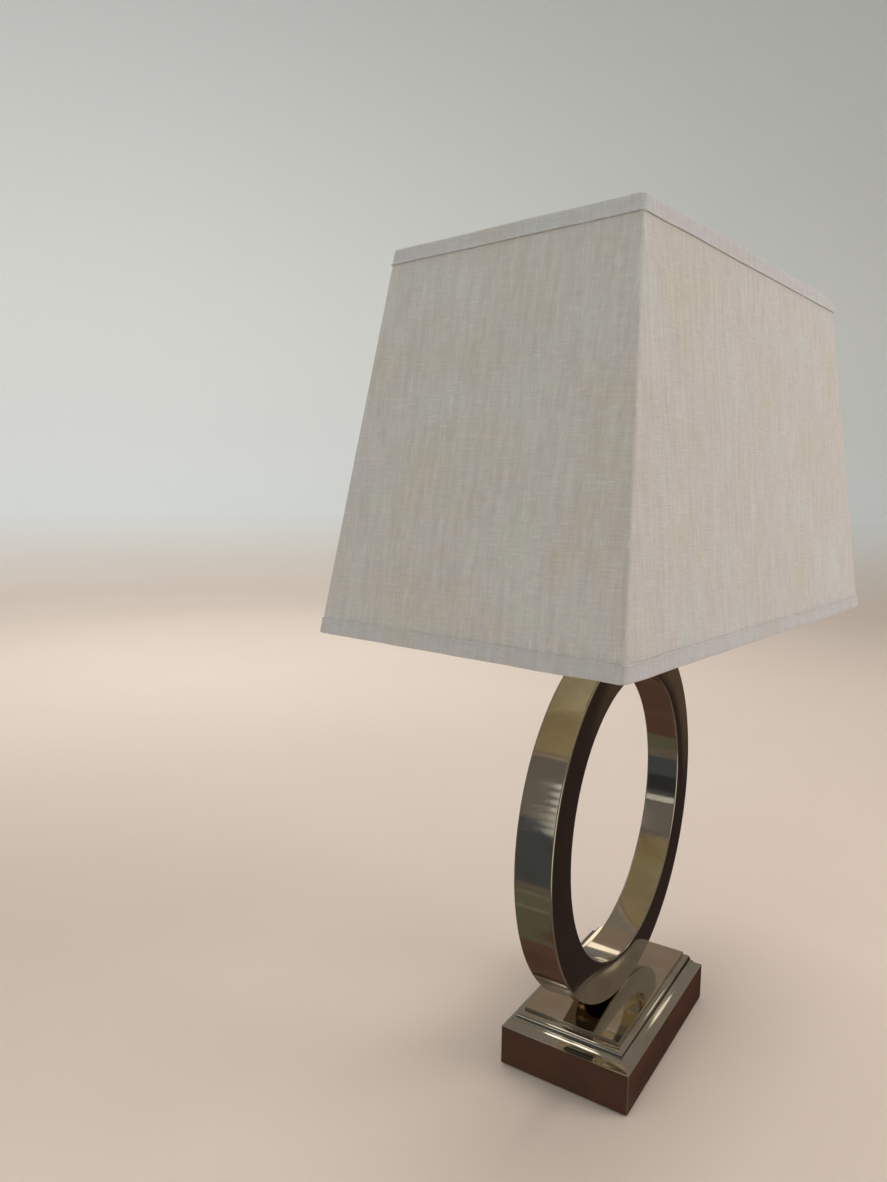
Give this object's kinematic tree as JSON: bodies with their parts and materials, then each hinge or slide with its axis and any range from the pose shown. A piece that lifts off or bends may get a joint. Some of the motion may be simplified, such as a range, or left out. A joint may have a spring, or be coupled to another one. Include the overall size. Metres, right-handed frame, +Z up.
{
  "type": "table lamp",
  "caption": "Table lamp with a polished ring body standing on a stepped rectangular base, a harp, a turn-switch socket and a tapered rectangular linen shade.",
  "frame": {"origin": "on the table, under the centre of the base", "axes": "+Z up; X along the base's long side, in the plane of the ring; -Y is the front, with the switch, and the cord's inlet is at +Y"},
  "size_m": [0.482, 0.306, 0.662],
  "materials": {
    "nickel": "polished nickel plate",
    "brown_lacquer": "dark brown baked lacquer on steel",
    "cast_iron": "raw cast iron",
    "steel": "zinc plated steel",
    "brass": "turned brass",
    "felt": "dark green felt",
    "rubber": "black rubber",
    "lead": "brown PVC lead",
    "phenolic": "moulded phenolic",
    "card": "insulating card",
    "bulb_glass": "frosted bulb glass",
    "clear_glass": "clear glass",
    "aluminium": "rolled aluminium",
    "linen": "slub linen",
    "styrene": "translucent styrene",
    "frame_wire": "ivory painted wire"
  },
  "bodies": {
    "lamp": {"base_plinth": "brown_lacquer", "base_moulding": "nickel", "base_top_plate": "nickel", "base_weight": "cast_iron", "base_bottom_cover": "steel", "base_cover_screws": "steel", "base_felt_pad": "felt", "cord_inlet_grommet": "rubber", "base_nipple": "brass", "base_lock_washer": "steel", "base_lock_nut": "brass", "ring_outer_band": "nickel", "ring_inner_band": "nickel", "ring_front_face": "nickel", "ring_back_face": "nickel", "ring_lower_boss": "steel", "ring_upper_boss": "steel", "internal_lead": "lead", "neck": "nickel", "neck_nipple": "brass", "harp_saddle": "nickel", "harp_wire": "nickel", "harp_stud": "nickel", "socket_cap": "nickel", "socket_shell": "nickel", "socket_liner": "card", "socket_body": "phenolic", "terminal_screws": "brass", "socket_screw_shell": "aluminium", "socket_contact": "brass"},
    "ferrule_left": {"harp_ferrule_left": "nickel"},
    "ferrule_right": {"harp_ferrule_right": "nickel"},
    "switch": {"switch_stem": "brass", "switch_knob": "phenolic"},
    "bulb_foot": {"bulb_contact": "aluminium", "bulb_insulator": "phenolic"},
    "bulb": {"bulb_cap": "aluminium", "bulb_glass": "bulb_glass", "bulb_stem": "clear_glass", "bulb_filament": "steel"},
    "shade": {"shade_fabric": "linen", "shade_liner": "styrene", "shade_top_trim": "linen", "shade_bottom_trim": "linen", "shade_top_frame": "frame_wire", "shade_bottom_frame": "frame_wire", "shade_spider_washer": "frame_wire", "shade_spider_arms": "frame_wire"},
    "finial_bush": {"finial_insert": "brass"},
    "finial": {"finial_knob": "nickel"}
  },
  "joints": [
    {"name": "switch_turn", "type": "hinge", "parent": "lamp", "child": "switch", "pos_m": [0, -0.03, 0.404], "axis": [0, -1, 0], "continuous": true},
    {"name": "ferrule_left_slide", "type": "slide", "parent": "lamp", "child": "ferrule_left", "axis": [0, 0, 1], "range_m": [0, 0.014]},
    {"name": "ferrule_right_slide", "type": "slide", "parent": "lamp", "child": "ferrule_right", "axis": [0, 0, 1], "range_m": [0, 0.014]},
    {"name": "bulb_rise", "type": "slide", "parent": "lamp", "child": "bulb_foot", "axis": [0, 0, 1], "range_m": [0, 0.0145]},
    {"name": "bulb_turn", "type": "hinge", "parent": "bulb_foot", "child": "bulb", "pos_m": [0, 0, 0.43], "axis": [0, 0, 1], "range_deg": [0, 1440]},
    {"name": "shade_swivel", "type": "hinge", "parent": "lamp", "child": "shade", "pos_m": [0, 0, 0.6321], "axis": [0, 0, 1], "continuous": true},
    {"name": "finial_rise", "type": "slide", "parent": "lamp", "child": "finial_bush", "axis": [0, 0, 1], "range_m": [0, 0.00564]},
    {"name": "finial_turn", "type": "hinge", "parent": "finial_bush", "child": "finial", "pos_m": [0, 0, 0.6441], "axis": [0, 0, 1], "range_deg": [0, 2160]}
  ],
  "couplings": [
    {"joint": "bulb_turn", "follows": "bulb_rise", "rad_per_m": 1731.6},
    {"joint": "finial_turn", "follows": "finial_rise", "rad_per_m": 6679}
  ]
}
